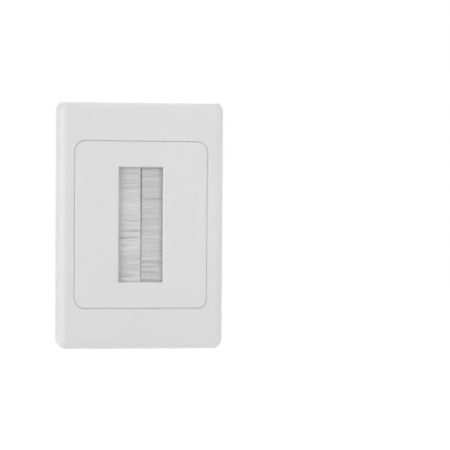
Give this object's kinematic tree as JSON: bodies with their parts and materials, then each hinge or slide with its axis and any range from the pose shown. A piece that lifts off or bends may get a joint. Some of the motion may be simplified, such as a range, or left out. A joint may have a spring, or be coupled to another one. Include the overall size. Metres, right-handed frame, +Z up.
{
  "type": "brush wall plate",
  "caption": "Upright wall plate with a rounded clip-on surround, a raised panel and a tall cable window closed by facing bristle strips, slotted at the back for wall screws.",
  "frame": {"origin": "on the wall plane, midway between the two fixing slots", "axes": "+X to the right seen from the front, +Y into the wall, +Z up; the front looks along -Y"},
  "size_m": [0.078, 0.011, 0.116],
  "materials": {
    "white_plastic": "moulded, satin",
    "folded_aluminium": "mill finish",
    "nylon_bristle": "fine pale grey filaments",
    "steel_wire": "drawn"
  },
  "bodies": {
    "root": {"surround": "white_plastic", "grid_plate": "white_plastic", "brush_retainer": "white_plastic", "channel_left": "folded_aluminium", "channel_right": "folded_aluminium", "bristles_left": "nylon_bristle", "bristles_right": "nylon_bristle", "core_wire_left": "steel_wire", "core_wire_right": "steel_wire"}
  },
  "joints": []
}
